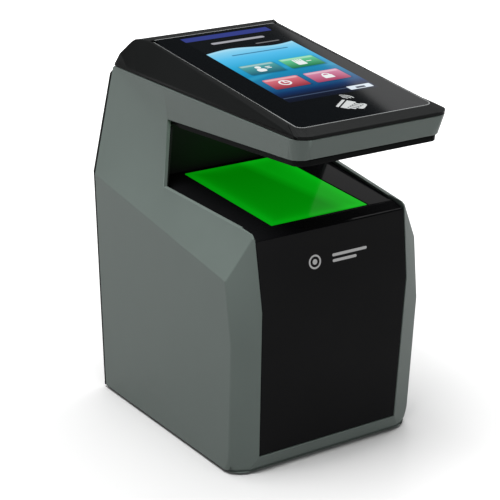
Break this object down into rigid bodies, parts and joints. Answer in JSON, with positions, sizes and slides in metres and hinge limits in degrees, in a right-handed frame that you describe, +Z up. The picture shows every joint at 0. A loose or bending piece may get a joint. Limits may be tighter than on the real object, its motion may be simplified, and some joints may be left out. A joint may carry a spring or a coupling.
{
  "type": "fingerprint scanner terminal",
  "caption": "Touchless fingerprint access terminal: a faceted housing with a sloped touch screen over a hand tunnel, a lit scan window below it, and rear connectors.",
  "frame": {"origin": "centre of the footprint at floor level", "axes": "+Z up, +X to the terminal's own right seen from its front, +Y from the front towards the back face"},
  "size_m": [0.152, 0.216, 0.25],
  "materials": {
    "grey_casing": "fine matt grey paint on a moulded casing",
    "black_casing": "black, fine satin",
    "black_gloss": "black, glossy",
    "screen_glass": "smooth cover glass, printed black behind",
    "screen_frame": "dark display frame",
    "scan_glass": "smooth, lit green from below",
    "circuit_board": "green solder mask",
    "diffuser_film": "milky",
    "flex_film": "amber film",
    "green_terminal": "green terminal block",
    "white_plastic": "white",
    "zinc_steel": "zinc plated",
    "dark_steel": "blackened screw steel",
    "bare_aluminium": "bare extrusion",
    "foot_rubber": "matt"
  },
  "bodies": {
    "terminal": {"rear_cover": "black_casing", "housing_shell": "grey_casing", "head_top_cover": "black_casing", "touch_glass": "screen_glass", "display_module": "screen_frame", "display_board": "circuit_board", "card_reader_board": "circuit_board", "head_underside": "black_gloss", "deck_frame": "black_gloss", "scan_window": "scan_glass", "front_panel": "black_gloss", "tunnel_liner": "black_casing", "optical_bay": "black_casing", "lamp_board_left": "circuit_board", "light_diffuser_left": "diffuser_film", "camera_lens_left": "black_casing", "lamp_board_right": "circuit_board", "light_diffuser_right": "diffuser_film", "camera_lens_right": "black_casing", "camera_board": "circuit_board", "main_board": "circuit_board", "heat_sink": "bare_aluminium", "connector_board": "circuit_board", "network_socket": "zinc_steel", "usb_socket": "zinc_steel", "power_terminal": "green_terminal", "signal_terminal": "green_terminal", "reset_switch": "black_casing", "tamper_switch": "black_casing", "speaker": "black_casing", "screen_cable": "flex_film", "camera_cable": "flex_film", "floor_plate": "zinc_steel", "foot_left_front": "foot_rubber", "foot_left_rear": "foot_rubber", "foot_right_front": "foot_rubber", "foot_right_rear": "foot_rubber", "rear_screw_lower_left": "dark_steel", "rear_screw_middle_left": "dark_steel", "rear_screw_upper_left": "dark_steel", "rear_screw_lower_right": "dark_steel", "rear_screw_middle_right": "dark_steel", "rear_screw_upper_right": "dark_steel", "floor_screw_left_front": "zinc_steel", "floor_screw_left_rear": "zinc_steel", "floor_screw_right_front": "zinc_steel", "floor_screw_right_rear": "zinc_steel", "head_screw_left_front": "dark_steel", "head_screw_left_rear": "dark_steel", "head_screw_right_front": "dark_steel", "head_screw_right_rear": "dark_steel", "board_screw_lower_left": "zinc_steel", "board_screw_upper_left": "zinc_steel", "board_screw_lower_right": "zinc_steel", "board_screw_upper_right": "zinc_steel"},
    "reset_key": {"reset_button": "white_plastic"},
    "tamper_pin": {"tamper_plunger": "white_plastic"}
  },
  "joints": [
    {"name": "reset_press", "type": "slide", "parent": "terminal", "child": "reset_key", "axis": [0, -1, 0], "range_m": [0, 0.0008], "stiffness_N_per_m": 1200, "springref_m": -0.0004},
    {"name": "tamper_press", "type": "slide", "parent": "terminal", "child": "tamper_pin", "axis": [0, -1, 0], "range_m": [0, 0.0014], "stiffness_N_per_m": 600, "springref_m": -0.0008}
  ]
}
